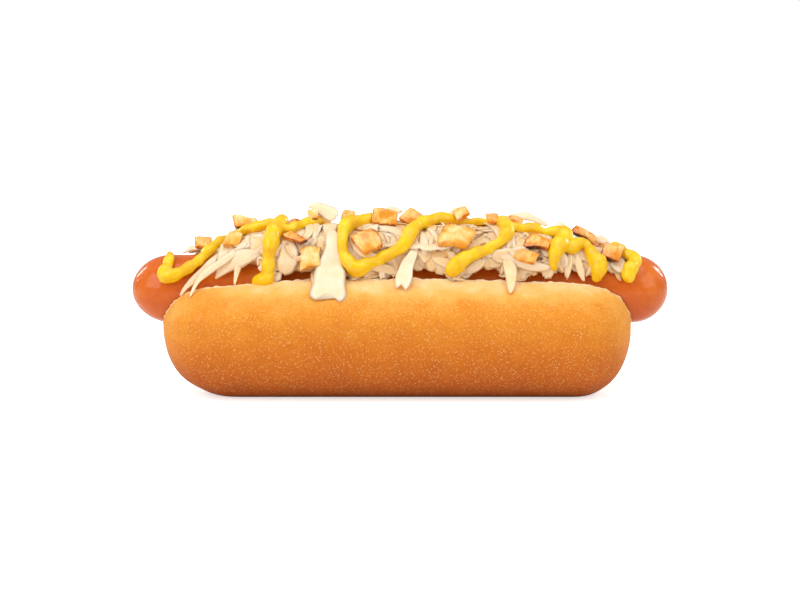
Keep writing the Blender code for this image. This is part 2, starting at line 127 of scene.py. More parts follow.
# Onion pieces: (x, turn, lift of the centre, length, width, thickness, spin, tilt towards the front).
ONIONS = [
    (-64.2, 8, 2.2, 5.8, 4.4, 3.2, 6, 64),
    (-50.5, 4, 3.9, 7.6, 4.2, 3.6, 2, 66),
    (-53.8, -21, 1.8, 5.2, 5.6, 3.0, -8, 30),
    (-33.6, -31, 2.0, 7.8, 3.0, 2.6, -30, 12),
    (-28.7, -50, 1.8, 7.0, 8.2, 3.2, 8, 6),
    (-28.0, -2, 3.6, 2.8, 3.8, 2.4, 8, 60),
    (-17.2, 8, 3.0, 4.0, 4.4, 2.4, -20, 60),
    (-10.4, -37, 2.0, 7.6, 8.2, 4.0, 24, 10),
    (-4.8, -3, 2.4, 7.6, 6.0, 3.6, -8, 58),
    (4.0, 5, 2.0, 6.4, 6.0, 3.0, -32, 58),
    (18.2, -30, 1.8, 10.2, 9.8, 3.6, -12, 8),
    (19.9, 5, 3.4, 4.8, 4.0, 3.0, 20, 54),
    (30.4, -3, 2.6, 4.6, 3.6, 2.6, -6, 54),
    (37.6, -2, 1.8, 4.4, 2.6, 2.0, -30, 40),
    (44.2, -34, 1.8, 7.4, 5.6, 3.2, -12, 10),
    (40.6, -49, 1.5, 7.2, 4.0, 2.8, -20, 8),
    (60.2, 0, 2.6, 8.2, 3.4, 2.4, -38, 50),
    (68.2, -30, 1.9, 6.4, 6.2, 3.4, -16, 24),
    (-62.0, 38, 2.0, 6.2, 5.8, 3.4, 20, -6),
    (-46.0, 40, 1.8, 7.4, 6.0, 3.2, -14, -8),
    (-34.0, 28, 1.8, 6.8, 7.2, 3.6, 30, -6),
    (-7.0, 44, 1.6, 8.2, 6.4, 3.4, -20, -8),
    (8.5, 34, 1.8, 7.0, 7.8, 3.4, 12, -6),
    (37.0, 40, 1.7, 8.0, 6.2, 3.6, 24, -8),
    (50.5, 30, 1.8, 6.4, 6.8, 3.2, -18, -6),
    (63.5, 36, 2.0, 6.6, 5.6, 3.4, 10, -6),
]
ONION_LAYER_RADIUS = 16.0
ONION_TAPER = 0.86
ONION_SLIMNESS = 0.8
ONION_ROUND = 9
# How much each onion piece is fried beyond its rim, where it isn't plain golden.
ONION_FRIED = {
    1: 0.10, 2: 0.16, 3: -0.12, 4: 0.30, 5: 0.06, 8: 0.16, 9: 0.08,
    10: -0.12, 14: 0.25, 15: 0.18, 16: -0.08, 17: 0.30, 18: 0.22,
}


# ---- the object's driving curves, as in its solids ----


def smooth_step(share):
    share = min(max(share, 0.0), 1.0)
    return share * share * (3 - 2 * share)


def side_of(x):
    return -1 if x < 0 else 1


def signed_power(value, power):
    return math.copysign(abs(value) ** power, value)


def edge_turn(x, side):
    return HEAP_EDGE_TURN + HEAP_EDGE_WAVE * math.sin(0.23 * x + 1.9 * side)


def heap_thickness(x, turn):
    rise = smooth_step((x - HEAP_START) / (HEAP_FULL_FROM - HEAP_START))
    fall = smooth_step((HEAP_END - x) / (HEAP_END - HEAP_FULL_TO))
    crest = HEAP_LEAST_THICKNESS + (HEAP_THICKNESS - HEAP_LEAST_THICKNESS) * rise * fall
    across = max(0.0, math.cos(math.radians(90 * turn / edge_turn(x, side_of(turn))))) ** 0.8
    lump = noise.noise(Vector((0.11 * x, 0.035 * turn, 3.7)))
    return max(0.0, crest * across + HEAP_UNEVENNESS * lump * across * rise * fall)


def topping_point(x, turn, lift):
    inside = HEAP_START <= x <= HEAP_END
    reach = SAUSAGE_RADIUS + GAP + lift + (heap_thickness(x, turn) if inside else 0.0)
    angle = math.radians(turn)
    return Vector((x, reach * math.sin(angle), SAUSAGE_AXIS_HEIGHT + reach * math.cos(angle)))


def end_share(x, start, end, power=CORNER_POWER):
    into = min(max((x - start) / (end - start), 0.0), 1.0)
    return (1 - into**power) ** (1 / power)


def bun_reach(x):
    """(height of the crown over the waist, depth of the base under it, half width) of the uncut loaf at x."""
    side = side_of(x)
    tip = BUN_END[side]

    def share(corner):
        return end_share(x, tip - side * corner[side], tip)

    crown = BUN_CROWN_HEIGHT - BUN_CROWN_DROP[side] * (x / 60) ** 2
    return (
        (crown - BUN_WAIST_HEIGHT) * share(BUN_TOP_CORNER),
        (BUN_WAIST_HEIGHT + BUN_BASE_CUT) * share(BUN_BOTTOM_CORNER),
        BUN_HALF_WIDTH * share(BUN_SIDE_CORNER),
    )


def bun_ring(x, sides):
    above, below, half_width = bun_reach(x)
    ring = []
    for k in range(sides):
        across = math.cos(2 * math.pi * k / sides)
        up = math.sin(2 * math.pi * k / sides)
        power = 2 / (CROWN_POWER if up > 0 else BASE_POWER)
        height = signed_power(up, power) * (above if up > 0 else below)
        ring.append((x, half_width * signed_power(across, power), BUN_WAIST_HEIGHT + height))
    return ring


# ---- small tools ----


def spaced(start, end, steps):
    return [start + (end - start) * k / steps for k in range(steps + 1)]


def rumple(point, scale, seed=0.0):
    """Noise between about -1 and 1, at a point in millimetres, for lumps of about this size."""
    return noise.noise(Vector(point) / scale + Vector((seed, 2.3 * seed, -1.7 * seed)))


def through(points, steps):
    """A Catmull-Rom curve through the points, with this many steps between two of them."""
    ends = [points[0], *points, points[-1]]
    curve = []
    for before, a, b, after in zip(ends, ends[1:], ends[2:], ends[3:]):
        for k in range(steps):
            t = k / steps
            weights = (-t + 2 * t**2 - t**3, 2 - 5 * t**2 + 3 * t**3, t + 4 * t**2 - 3 * t**3, -(t**2) + t**3)
            curve.append([sum(w * v for w, v in zip(weights, four)) / 2 for four in zip(before, a, b, after)])
    return curve + [list(points[-1])]


def put_in_scene(name, data):
    made = bpy.data.objects.new(name, data)
    bpy.context.scene.collection.objects.link(made)
    return made


def mesh_object(name, points, faces, material=None):
    mesh = bpy.data.meshes.new(name)
    mesh.from_pydata([tuple(c * MM for c in p) for p in points], [], faces)
    mesh.shade_smooth()
    if material:
        mesh.materials.append(material)
    return put_in_scene(name, mesh)


def loft(name, rings, tips=None, material=None):
    count = len(rings[0])
    points = [p for ring in rings for p in ring]
    faces = []
    for r in range(len(rings) - 1):
        for k in range(count):
            here, after = r * count + k, r * count + (k + 1) % count
            faces.append((here, after, after + count, here + count))
    last = (len(rings) - 1) * count
    if tips:
        points += list(tips)
        first_tip, last_tip = len(points) - 2, len(points) - 1
        faces += [((k + 1) % count, k, first_tip) for k in range(count)]
        faces += [(last + k, last + (k + 1) % count, last_tip) for k in range(count)]
    else:
        faces.append(tuple(reversed(range(count))))
        faces.append(tuple(last + k for k in range(count)))
    made = mesh_object(name, points, faces, material)
    face_outwards(made)
    return made


def face_outwards(obj):
    shape = bmesh.new()
    shape.from_mesh(obj.data)
    bmesh.ops.recalc_face_normals(shape, faces=shape.faces)
    shape.to_mesh(obj.data)
    shape.free()


def apply_modifiers(obj):
    made = bpy.data.meshes.new_from_object(obj.evaluated_get(bpy.context.evaluated_depsgraph_get()))
    obj.modifiers.clear()
    obj.data = made


def remesh(obj, voxel, rounds):
    """One even skin, smoothed, with nothing left inside it."""
    skin = obj.modifiers.new("skin", "REMESH")
    skin.mode = "VOXEL"
    skin.voxel_size = voxel * MM
    if rounds:
        smooth = obj.modifiers.new("smooth", "SMOOTH")
        smooth.factor = 0.5
        smooth.iterations = rounds
    apply_modifiers(obj)
    shape = bmesh.new()
    shape.from_mesh(obj.data)
    left, bodies = set(shape.verts), []
    while left:
        body = [left.pop()]
        for vert in body:
            for edge in vert.link_edges:
                other = edge.other_vert(vert)
                if other in left:
                    left.remove(other)
                    body.append(other)
        bodies.append(body)
    biggest = max(bodies, key=len)
    bmesh.ops.delete(shape, geom=[v for body in bodies if body is not biggest for v in body], context="VERTS")
    shape.to_mesh(obj.data)
    shape.free()
    obj.data.shade_smooth()


def set_floats(mesh, name, values):
    """A value for each vertex, for the materials to read."""
    made = mesh.attributes.new(name, "FLOAT", "POINT")
    made.data.foreach_set("value", np.asarray(values, dtype=np.float32))


def set_vectors(mesh, name, values):
    """A vector for each vertex, for the materials to read."""
    made = mesh.attributes.new(name, "FLOAT_VECTOR", "POINT")
    made.data.foreach_set("vector", np.asarray(values, dtype=np.float32).ravel())


# ---- materials ----


def linear(red, green, blue):
    """An sRGB colour, 0 to 255, as a linear RGBA."""
    parts = [c / 255 for c in (red, green, blue)]
    return (*[p / 12.92 if p <= 0.04045 else ((p + 0.055) / 1.055) ** 2.4 for p in parts], 1.0)


class Nodes:
    """A material under construction."""

    def __init__(self, name, **settings):
        self.material = bpy.data.materials.new(name)
        self.material.use_nodes = True
        self.tree = self.material.node_tree
        self.shader = self.tree.nodes["Principled BSDF"]
        self.shader.inputs["Specular IOR Level"].default_value = 0.5
        for socket, value in settings.items():
            self.shader.inputs[socket.replace("_", " ")].default_value = value

    def node(self, kind, **settings):
        made = self.tree.nodes.new(f"ShaderNode{kind}")
        for key, value in settings.items():
            setattr(made, key, value)
        return made

    def link(self, source, target):
        self.tree.links.new(source, target)

    def put(self, target, value):
        if isinstance(value, bpy.types.NodeSocket):
            self.link(value, target)
        else:
            target.default_value = value

    def place(self):
        return self.node("TexCoord").outputs["Object"]

    def stretched(self, vector, scale):
        mapping = self.node("Mapping")
        mapping.inputs["Scale"].default_value = scale
        self.link(vector, mapping.inputs["Vector"])
        return mapping.outputs["Vector"]

    def value(self, name):
        return self.node("Attribute", attribute_name=name).outputs["Fac"]

    def vector(self, name):
        return self.node("Attribute", attribute_name=name).outputs["Vector"]

    def noise(self, vector, size_mm, detail=3.0, rough=0.5):
        """Noise with features of about this size, between 0 and 1."""
        made = self.node("TexNoise")
        made.inputs["Scale"].default_value = 1000 / size_mm
        made.inputs["Detail"].default_value = detail
        made.inputs["Roughness"].default_value = rough
        self.link(vector, made.inputs["Vector"])
        return made.outputs["Fac"]

    def cells(self, vector, size_mm):
        """The way to the middle of the nearest of many cells of about this size."""
        made = self.node("TexVoronoi")
        made.inputs["Scale"].default_value = 1000 / size_mm
        self.link(vector, made.inputs["Vector"])
        return made.outputs["Distance"]

    def ramp(self, value, *stops):
        """stops are (position, colour)."""
        made = self.node("ValToRGB")
        line = made.color_ramp
        while len(line.elements) < len(stops):
            line.elements.new(0.5)
        for element, (position, colour) in zip(line.elements, stops):
            element.position, element.color = position, colour
        self.put(made.inputs["Fac"], value)
        return made.outputs["Color"]

    def between(self, value, low, high, to_low=0.0, to_high=1.0):
        made = self.node("MapRange")
        self.put(made.inputs["Value"], value)
        for name, number in zip(("From Min", "From Max", "To Min", "To Max"), (low, high, to_low, to_high)):
            made.inputs[name].default_value = number
        return made.outputs["Result"]

    def sum(self, a, b):
        return self.math("ADD", a, b)

    def times(self, a, b):
        return self.math("MULTIPLY", a, b)

    def math(self, operation, a, b):
        made = self.node("Math", operation=operation)
        self.put(made.inputs[0], a)
        self.put(made.inputs[1], b)
        return made.outputs["Value"]

    def mix(self, share, a, b):
        made = self.node("Mix", data_type="RGBA")
        self.put(made.inputs["Factor"], share)
        self.put(made.inputs[6], a)
        self.put(made.inputs[7], b)
        return made.outputs[2]

    def bump(self, height, depth_mm, under=None):
        made = self.node("Bump")
        made.inputs["Strength"].default_value = 1.0
        made.inputs["Distance"].default_value = depth_mm * MM
        self.put(made.inputs["Height"], height)
        if under:
            self.link(under, made.inputs["Normal"])
        return made.outputs["Normal"]

    def done(self, **sockets):
        for socket, value in sockets.items():
            self.put(self.shader.inputs[socket.replace("_", " ")], value)
        return self.material


def crust_material():
    """Golden crust, pale at the torn edge, with a fine leathery speckle; paler under the lip and browner low
    down, partly from baking and partly painted light from above and painted shade below.
    """
    m = Nodes("crust", Subsurface_Weight=0.06, Subsurface_Scale=0.0015, Specular_IOR_Level=0.22)
    m.shader.inputs["Subsurface Radius"].default_value = (1.0, 0.5, 0.25)
    place = m.place()
    patches = m.noise(place, 14, detail=4, rough=0.55)
    mottle = m.noise(place, 3.2, detail=3, rough=0.6)
    fine = m.noise(place, 0.6, detail=2, rough=0.6)
    # How baked the crust is, with painted light near the lip and painted shade low down.
    bake_and_shade = m.value("bake_and_shade")
    level = m.sum(bake_and_shade, m.between(patches, 0.3, 0.7, -0.06, 0.06))
    level = m.sum(level, m.between(mottle, 0.25, 0.75, -0.05, 0.05))
    colour = m.ramp(
        level,
        (0.00, linear(250, 224, 180)),
        (0.14, linear(248, 206, 142)),
        (0.30, linear(243, 178, 84)),
        (0.50, linear(232, 146, 40)),
        (0.74, linear(214, 118, 22)),
        (1.00, linear(190, 94, 20)),
    )
    on_crust = m.between(bake_and_shade, 0.14, 0.4)
    crowd = m.between(mottle, 0.3, 0.7, 0.35, 1.0)
    dots = m.between(m.cells(place, 0.78), 0.44, 0.2)
    grains = m.times(m.times(dots, m.between(fine, 0.38, 0.58)), crowd)
    grains_shown = m.times(m.times(grains, on_crust), 0.72)
    colour = m.mix(grains_shown, colour, linear(250, 200, 122))
    holes_shown = m.times(m.times(m.between(fine, 0.46, 0.30), on_crust), 0.34)
    colour = m.mix(holes_shown, colour, linear(186, 92, 20))
    leather = m.times(m.sum(fine, m.times(grains, 0.5)), on_crust)
    crumb = m.times(m.noise(place, 1.3, detail=5, rough=0.7), m.between(bake_and_shade, 0.3, 0.05))
    normal = m.bump(leather, 0.14)
    normal = m.bump(crumb, 0.6, under=normal)
    rough = m.between(bake_and_shade, 0.1, 0.6, 0.85, 0.55)
    return m.done(Base_Color=colour, Roughness=rough, Normal=normal)


def sausage_material():
    """Tight skin: orange-brown, redder in patches, glossy where it is wet."""
    m = Nodes("sausage_skin", Specular_IOR_Level=0.12, Coat_Weight=0.5, Coat_Roughness=0.1)
    m.shader.inputs["Subsurface Weight"].default_value = 0.06
    m.shader.inputs["Subsurface Scale"].default_value = 0.001
    m.shader.inputs["Subsurface Radius"].default_value = (1.0, 0.35, 0.2)
    place = m.place()
    long = m.stretched(place, (0.35, 1.0, 1.0))
    patches = m.noise(long, 11, detail=4, rough=0.5)
    flecks = m.noise(place, 1.6, detail=3, rough=0.6)
    colour = m.ramp(
        m.sum(patches, m.between(flecks, 0.3, 0.7, -0.06, 0.06)),
        (0.28, linear(198, 84, 10)),
        (0.50, linear(216, 102, 16)),
        (0.72, linear(228, 118, 34)),
    )
    colour = m.mix(m.between(m.value("low"), 0.0, 1.0, 0.0, 0.55), colour, linear(214, 108, 56))
    gloss = m.between(m.noise(place, 4.5, detail=4, rough=0.6), 0.3, 0.7, 0.22, 0.42)
    normal = m.bump(m.noise(place, 2.6, detail=3, rough=0.55), 0.10)
    return m.done(Base_Color=colour, Roughness=gloss, Normal=normal)


def kraut_material():
    """Wet shreds: streaked along their length and each of its own tone, in uneven clouds; darker middles,
    paler rims and part of the darker clouds are painted shade, of what shows through a sheet.
    """
    m = Nodes("kraut", Subsurface_Weight=0.2, Subsurface_Scale=0.003, Specular_IOR_Level=0.25)
    m.shader.inputs["Subsurface Radius"].default_value = (1.0, 0.7, 0.4)
    m.shader.inputs["Coat Weight"].default_value = 0.15
    m.shader.inputs["Coat Roughness"].default_value = 0.15
    grain = m.vector("grain")
    streaks = m.noise(m.stretched(grain, (1.0, 0.12, 1.0)), 0.7, detail=3, rough=0.55)
    clouds = m.noise(m.place(), 4.0, detail=3, rough=0.5)
    level = m.sum(m.value("tone"), m.between(streaks, 0.3, 0.7, -0.07, 0.07))
    # Clouds: partly the shreds' own uneven colour, partly painted shade where darker things show through the
    # sheet.
    level = m.sum(level, m.between(clouds, 0.35, 0.65, -0.14, 0.14))
    # Darker middles and paler rims: painted shade, of what lies under a sheet showing through it.
    level = m.sum(level, m.between(m.value("rim"), 0.4, 1.0, -0.10, 0.12))
    colour = m.ramp(
        level,
        (0.0, linear(238, 172, 98)),
        (0.30, linear(249, 203, 142)),
        (0.60, linear(253, 219, 172)),
        (0.95, linear(254, 230, 196)),
    )
    normal = m.bump(streaks, 0.06)
    gloss = m.between(clouds, 0.3, 0.7, 0.28, 0.48)
    return m.done(Base_Color=colour, Roughness=gloss, Normal=normal)


def mustard_material():
    """Smooth wet mustard, more golden in patches."""
    m = Nodes("mustard", Subsurface_Weight=0.05, Subsurface_Scale=0.001, Specular_IOR_Level=0.25)
    m.shader.inputs["Coat Weight"].default_value = 0.4
    m.shader.inputs["Coat Roughness"].default_value = 0.09
    m.shader.inputs["Subsurface Radius"].default_value = (1.0, 0.6, 0.1)
    place = m.place()
    clouds = m.noise(place, 5, detail=3, rough=0.5)
    colour = m.ramp(
        clouds,
        (0.3, linear(236, 174, 0)),
        (0.52, linear(245, 197, 2)),
        (0.75, linear(250, 214, 18)),
    )
    gloss = m.between(m.noise(place, 3.0, detail=3), 0.3, 0.7, 0.26, 0.44)
    normal = m.bump(m.noise(place, 1.3, detail=2, rough=0.4), 0.06)
    return m.done(Base_Color=colour, Roughness=gloss, Normal=normal)


def onion_material():
    """Glossy golden flesh with the layer's faint lines, fried brown at the rims and in a few spots."""
    m = Nodes("onion", Subsurface_Weight=0.15, Subsurface_Scale=0.0015, Specular_IOR_Level=0.3)
    m.shader.inputs["Coat Weight"].default_value = 0.6
    m.shader.inputs["Coat Roughness"].default_value = 0.07
    m.shader.inputs["Subsurface Radius"].default_value = (1.0, 0.6, 0.2)
    place = m.place()
    lines = m.noise(m.stretched(m.vector("grain"), (1.0, 0.2, 1.0)), 0.8, detail=2, rough=0.5)
    clouds = m.noise(place, 4.2, detail=2, rough=0.45)
    level = m.sum(m.between(clouds, 0.32, 0.68, 0.15, 0.85), m.between(lines, 0.3, 0.7, -0.16, 0.16))
    pale = m.ramp(
        m.sum(level, m.value("tone")),
        (0.15, linear(232, 150, 34)),
        (0.42, linear(242, 180, 70)),
        (0.70, linear(249, 202, 118)),
        (1.00, linear(251, 220, 160)),
    )
    spots = m.noise(place, 1.2, detail=4, rough=0.65)
    scorch = m.sum(m.value("brown"), m.between(spots, 0.3, 0.7, -0.25, 0.25))
    tan = m.mix(m.between(scorch, 0.30, 0.62), pale, linear(222, 126, 26))
    brown = m.mix(m.between(scorch, 0.58, 0.84), tan, linear(160, 74, 14))
    dark = m.mix(m.between(scorch, 0.92, 1.12), brown, linear(70, 28, 10))
    gloss = m.between(clouds, 0.3, 0.7, 0.2, 0.4)
    normal = m.bump(m.sum(lines, m.noise(place, 1.4, detail=2)), 0.09)
    return m.done(Base_Color=dark, Roughness=gloss, Normal=normal)


# ---- the hill ----

HILL_STEP = 0.5
HILL_LENGTH = 64.0
HILL_FROM, HILL_TO = -90, 90
# The outline follows the toppings down to this turn, and further where the sausage's ends lie bare.
TOPPED_TURN = 84
BARE_TURN = 170
BARE_BEYOND = 76


def hill_profile(x, side):
    """The outline in the plane at x, from the crest down one side, as points (y, z) evenly spaced."""
    line = []
    lowest = BARE_TURN if abs(x) > BARE_BEYOND else TOPPED_TURN
    for turn in range(0, lowest, 3):
        p = topping_point(x, side * turn, 0.0)
        line.append((abs(p.y), p.z))
    above, _, half_width = bun_reach(x)
    if half_width > SPLIT_EDGE_HALF_WIDTH + 1 and above > 2:
        def crown(y):
            share = min(abs(y) / half_width, 1.0)
            return BUN_WAIST_HEIGHT + above * (1 - share**CROWN_POWER) ** (1 / CROWN_POWER)

        lip = crown(SPLIT_EDGE_HALF_WIDTH)
        line = [
            (y, z) for y, z in line if z > lip + 0.6 and not (y > SPLIT_EDGE_HALF_WIDTH and z < crown(y))
        ]
        ys = spaced(SPLIT_EDGE_HALF_WIDTH + 0.3, half_width, 24)
        line += [(y, crown(y)) for y in ys]
        line += [(half_width, BUN_WAIST_HEIGHT - drop) for drop in (1, 3, 6, 10)]
    line = np.array(line)
    run = np.concatenate([[0], np.cumsum(np.hypot(*np.diff(line, axis=0).T))])
    places = np.arange(0, HILL_LENGTH, HILL_STEP)
    ys = np.interp(places, run, line[:, 0])
    zs = np.interp(places, run, line[:, 1])
    soft = np.array([1, 2, 3, 2, 1]) / 9
    ys[2:-2] = np.convolve(ys, soft, "valid")
    zs[2:-2] = np.convolve(zs, soft, "valid")
    return np.stack([side * ys, zs], axis=1)


hill_table = {
    side: np.array([hill_profile(x, side) for x in range(HILL_FROM, HILL_TO + 1)]) for side in (-1, 1)
}


def hill(x, down, lift=0.0):
    """(point, normal) on the hill: down is the way down from the crest, negative towards the front."""
    rows = hill_table[-1 if down < 0 else 1]
    u = min(max(x - HILL_FROM, 0.0), len(rows) - 1.001)
    v = min(abs(down) / HILL_STEP, rows.shape[1] - 2.001)
    i, j = int(u), int(v)
    a, b = u - i, v - j
    higher = rows[i, j] * (1 - a) + rows[i + 1, j] * a
    lower = rows[i, j + 1] * (1 - a) + rows[i + 1, j + 1] * a
    here = higher * (1 - b) + lower * b
    along = rows[i, j + 1] - rows[i, j]
    side = -1 if down < 0 else 1
    normal = Vector((0, -side * along[1], side * along[0]))
    normal = normal.normalized() if normal.length > 1e-6 else Vector((0, 0, 1))
    if abs(down) < 3:
        normal = normal.lerp(Vector((0, 0, 1)), 1 - abs(down) / 3).normalized()
    return Vector((x, here[0], here[1])) + normal * lift, normal


VIEW_TILT = math.radians(8)
VIEW_GROUND = 15.0


def seen_height(point):
    """How high a point looks above the bun's foot to somebody in front who looks a little down."""
    return point.z * math.cos(VIEW_TILT) + (point.y + VIEW_GROUND) * math.sin(VIEW_TILT)


def facing(x, height):
    """The way down the hill, from a little behind the crest, to the place in front that looks this high."""
    down = 3.75
    while down > -HILL_LENGTH + 2:
        if seen_height(hill(x, down)[0]) <= height:
            return down
        down -= 0.25
    return down


# ---- bun ----

BUN_VOXEL = 0.62
TORN_LIP = 0.9
TORN_FADE = 1.6


def make_bun(material):
    stations = []
    for side in (-1, 1):
        tip, corner = BUN_END[side], BUN_BOTTOM_CORNER[side]
        stations += [tip - side * corner * (1 - math.sin(math.pi / 2 * k / 25)) for k in range(1, 25)]
    stations += spaced(BUN_END[-1] + BUN_BOTTOM_CORNER[-1], BUN_END[1] - BUN_BOTTOM_CORNER[1], 60)
    rings = [bun_ring(x, 120) for x in sorted(stations)]
    loaf = loft("bun_look", rings, [(BUN_END[s], 0.0, BUN_WAIST_HEIGHT) for s in (-1, 1)], material)

    turns = [math.radians(t) for t in spaced(90, 172, 14)]
    axis = SAUSAGE_AXIS_HEIGHT
    half = [(BED_RADIUS + SPLIT_SLOPE * (SPLIT_CUT_HEIGHT - axis), SPLIT_CUT_HEIGHT)]
    half += [(BED_RADIUS * math.sin(t), axis + BED_RADIUS * math.cos(t)) for t in turns]
    half += [(SLIT_HALF_WIDTH + 0.35, axis - BED_RADIUS * 0.985), (SLIT_HALF_WIDTH + 0.2, SLIT_FOOT_HEIGHT)]
    rings = []
    for x in spaced(-SAUSAGE_HALF_LENGTH - 4, SAUSAGE_HALF_LENGTH + 4, 24):
        rings.append([(x, y, z) for y, z in half] + [(x, -y, z) for y, z in reversed(half)])
    cutter = loft("split_look", rings)
    cut = loaf.modifiers.new("cut", "BOOLEAN")
    cut.operation, cut.solver, cut.object = "DIFFERENCE", "EXACT", cutter
    apply_modifiers(loaf)
    bpy.data.objects.remove(cutter)
    remesh(loaf, BUN_VOXEL, 6)

    mesh = loaf.data
    normals = [v.normal.copy() for v in mesh.vertices]
    bake_and_shade = []
    for vert, normal in zip(mesh.vertices, normals):
        p = vert.co / MM
        torn = torn_share(p)
        swell = 0.55 * rumple(p, 26, 1) + 0.22 * rumple(p, 9, 2)
        crumb = torn * (0.55 * rumple(p, 2.6, 3) + 0.3 * rumple(p, 1.3, 4))
        dimple = -0.16 * max(0.0, rumple(p, 4.0, 5) - 0.25) * (1 - torn)
        keep = smooth_step(p.z / 3)
        vert.co += normal * MM * (swell + crumb + dimple - 0.35) * keep
        # How baked the crust is here, with painted light and shade in it.
        bake_and_shade.append(bake_and_shade_level(p, torn))
        if vert.co.z < 0:
            vert.co.z = 0
    set_floats(mesh, "bake_and_shade", bake_and_shade)
    return loaf


def torn_share(p):
    """1 on the split's torn faces and lip, 0 on the crust."""
    low = SAUSAGE_AXIS_HEIGHT - p.z
    if low <= 0:
        wall = BED_RADIUS + SPLIT_SLOPE * max(0.0, p.z - SAUSAGE_AXIS_HEIGHT)
    elif low < BED_RADIUS:
        wall = math.sqrt(max(0.0, BED_RADIUS**2 - low**2))
    else:
        wall = SLIT_HALF_WIDTH
    return 1 - smooth_step((abs(p.y) - wall - TORN_LIP) / TORN_FADE)


def bake_and_shade_level(p, torn):
    """How baked the crust is, with painted light and shade laid over it: 0 pale crumb, 1 brownest."""
    ragged = 1.3 * rumple(p, 7, 6) + 0.6 * rumple(p, 2.5, 7)
    right = smooth_step((p.x - 30) / 40)
    below_lip = BUN_CROWN_HEIGHT - p.z - 0.6 * (abs(p.y) - SPLIT_EDGE_HALF_WIDTH) * 0.25 + ragged
    # Paler in a band under the lip: partly the pale crust there, partly painted light from above.
    level = 0.10 + 0.36 * smooth_step((below_lip - 0.5) / (7.5 + 2.0 * right))
    # Browner low down: partly the crust's own baking, partly painted shade.
    level += 0.62 * smooth_step((34.5 - p.z + ragged) / 40) ** 0.85
    # Paler towards both ends above the foot: painted light on the ends.
    end = smooth_step((abs(p.x) - 58) / 20)
    level -= 0.12 * end * smooth_step((p.z - 8) / 14)
    return max(0.0, level * (1 - torn))


# ---- sausage ----

SAUSAGE_SIDES = 120
SAUSAGE_TIP_CREASES = 13


def make_sausage(material):
    stations = []
    for side in (-1, 1):
        tip, corner = side * SAUSAGE_HALF_LENGTH, SAUSAGE_END_LENGTH[side]
        stations += [tip - side * corner * (1 - math.sin(math.pi / 2 * k / 36)) for k in range(1, 36)]
    left = -SAUSAGE_HALF_LENGTH + SAUSAGE_END_LENGTH[-1]
    right = SAUSAGE_HALF_LENGTH - SAUSAGE_END_LENGTH[1]
    stations += spaced(left, right, 190)
    rings, low = [], []
    for x in sorted(stations):
        side = side_of(x)
        tip = side * SAUSAGE_HALF_LENGTH
        share = end_share(x, tip - side * SAUSAGE_END_LENGTH[side], tip, power=2.0)
        near_tip = smooth_step((abs(x) - SAUSAGE_HALF_LENGTH + 7) / 6)
        ring = []
        for k in range(SAUSAGE_SIDES):
            t = 2 * math.pi * k / SAUSAGE_SIDES
            place = (x, 11 * math.sin(t), 11 * math.cos(t))
            crease = abs(math.sin(SAUSAGE_TIP_CREASES / 2 * t + 2.2 * rumple(place, 6, 8)))
            radius = SAUSAGE_RADIUS * share - 0.1
            radius -= 0.30 * near_tip * share * (1 - crease) ** 3 * (1.4 if side < 0 else 0.7)
            radius += 0.14 * rumple(place, 16, 9) * share + 0.05 * rumple(place, 4, 10) * share
            ring.append((x, radius * math.sin(t), SAUSAGE_AXIS_HEIGHT + radius * math.cos(t)))
            low.append(smooth_step((-math.cos(t) - 0.1) / 0.9))
        rings.append(ring)
    tips = [(s * (SAUSAGE_HALF_LENGTH - 0.05), 0.0, SAUSAGE_AXIS_HEIGHT) for s in (-1, 1)]
    made = loft("sausage_look", rings, tips, material)
    set_floats(made.data, "low", low + [0.3, 0.3])
    return made


# ---- sauerkraut ----

CORE_SINK = 0.6
# The core's tone is darker than the shreds': painted shade for the heap's hidden inside.
CORE_SHADED_TONE = 0.45
CORE_STEPS_OVER, CORE_STEPS_UNDER = 48, 24
FOOT_SHORTFALL = 4
# Where the sausage shows between the heap and the bun: (middle, half width, rise of the heap's foot).
FRONT_GAPS = [
    (-66.0, 5.0, 14.0), (-57.5, 5.5, 9.5), (-49.0, 5.5, 6.5), (-34.5, 6.0, 4.5), (9.0, 6.0, 4.5),
    (27.0, 4.5, 4.0), (44.0, 3.0, 3.0), (49.3, 2.0, 4.0), (55.3, 2.0, 5.5), (66.5, 2.5, 5.0),
]
BACK_GAPS = [
    (-60.0, 6.0, 6.0), (-38.0, 5.0, 4.0), (-12.0, 6.0, 4.5),
    (16.0, 5.0, 4.0), (45.0, 6.0, 5.0), (66.0, 4.0, 5.0),
]


def foot_of_heap(x, side):
    """The way down the hill at which the heap ends."""
    end = HILL_LENGTH
    for down in np.arange(8, HILL_LENGTH, 0.5):
        point = hill(x, side * down)[0]
        turn = math.degrees(math.atan2(abs(point.y), point.z - SAUSAGE_AXIS_HEIGHT))
        if turn >= edge_turn(x, side) - FOOT_SHORTFALL:
            end = down
            break
    for middle, half, lift in FRONT_GAPS if side < 0 else BACK_GAPS:
        end -= lift * math.exp(-(((x - middle) / half) ** 4))
    return end


foot_table = {
    side: [foot_of_heap(x, side) for x in range(HILL_FROM, HILL_TO + 1)] for side in (-1, 1)
}


def foot(x, side):
    """The same, read from the table of it."""
    u = min(max(x - HILL_FROM, 0.0), len(foot_table[side]) - 1.001)
    i = int(u)
    return foot_table[side][i] * (1 - (u - i)) + foot_table[side][i + 1] * (u - i)


